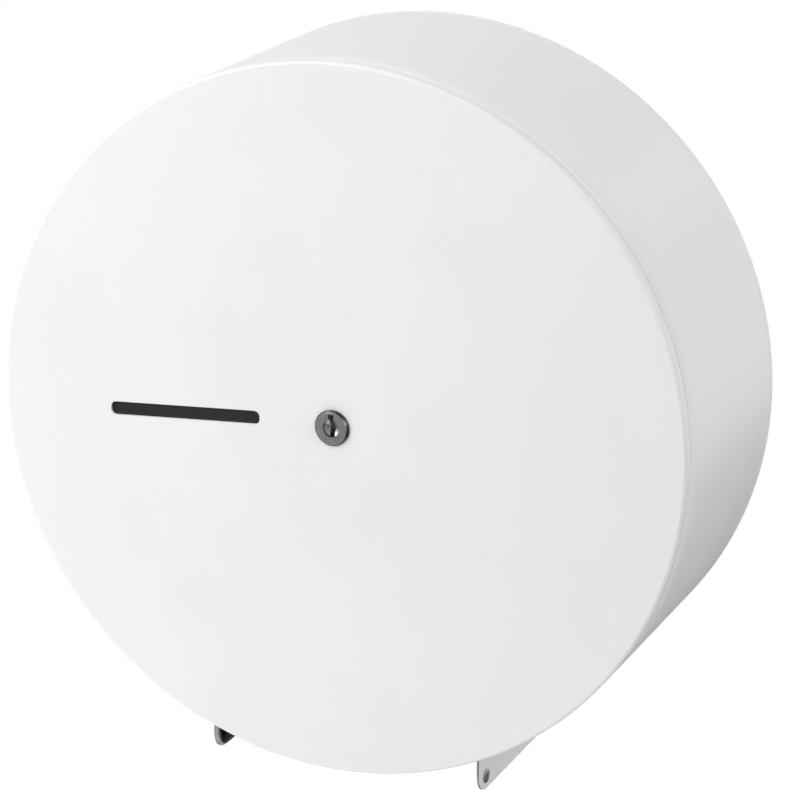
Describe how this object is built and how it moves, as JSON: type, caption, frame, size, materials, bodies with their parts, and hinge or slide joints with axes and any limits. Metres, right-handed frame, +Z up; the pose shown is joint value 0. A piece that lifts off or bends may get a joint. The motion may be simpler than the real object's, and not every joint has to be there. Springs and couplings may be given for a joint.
{
  "type": "jumbo toilet roll dispenser",
  "caption": "Round wall-hung drum of white painted steel that holds a large roll of toilet paper on a fixed spindle behind a keyed lift-off cover.",
  "frame": {"origin": "centre of the back plate's rear face, on the spindle's axis, in the plane of the wall", "axes": "+Z up, +X to the right as seen from the front, +Y into the wall; the front faces -Y"},
  "size_m": [0.31, 0.1216, 0.3157],
  "materials": {
    "painted_sheet": "smooth white powder coat",
    "spindle_steel": "drawn tube, satin",
    "blade_steel": "blued spring steel with a bare ground edge",
    "rivet_metal": "dark dull grey",
    "smoked_window": "smoked, nearly black",
    "foam_tape": "matt",
    "lock_plating": "satin nickel plate",
    "zinc_steel": "bright zinc plate",
    "plug_metal": "dull die-cast zinc"
  },
  "bodies": {
    "housing": {"back_plate": "painted_sheet", "drum_wall": "painted_sheet", "spindle_foot": "spindle_steel", "spindle_tube": "spindle_steel", "spindle_end_plate": "spindle_steel", "spindle_rivets": "rivet_metal", "tear_blade_left": "blade_steel", "tear_blade_right": "blade_steel", "blade_rivets": "rivet_metal"},
    "cover": {"cover_shell": "painted_sheet", "sight_window": "smoked_window", "window_tape": "foam_tape", "lock_body": "lock_plating", "lock_washer": "zinc_steel", "lock_nut": "zinc_steel", "plug_ring": "zinc_steel"},
    "lock": {"lock_plug": "plug_metal", "lock_cam": "zinc_steel", "cam_washer": "zinc_steel", "cam_screw": "zinc_steel"}
  },
  "joints": [
    {"name": "cover_lift_off", "type": "slide", "parent": "housing", "child": "cover", "axis": [0, -1, 0], "range_m": [0, 0.15]},
    {"name": "lock_turn", "type": "hinge", "parent": "cover", "child": "lock", "pos_m": [0, -0.11, 0], "axis": [0, 1, 0], "range_deg": [0, 90]}
  ]
}
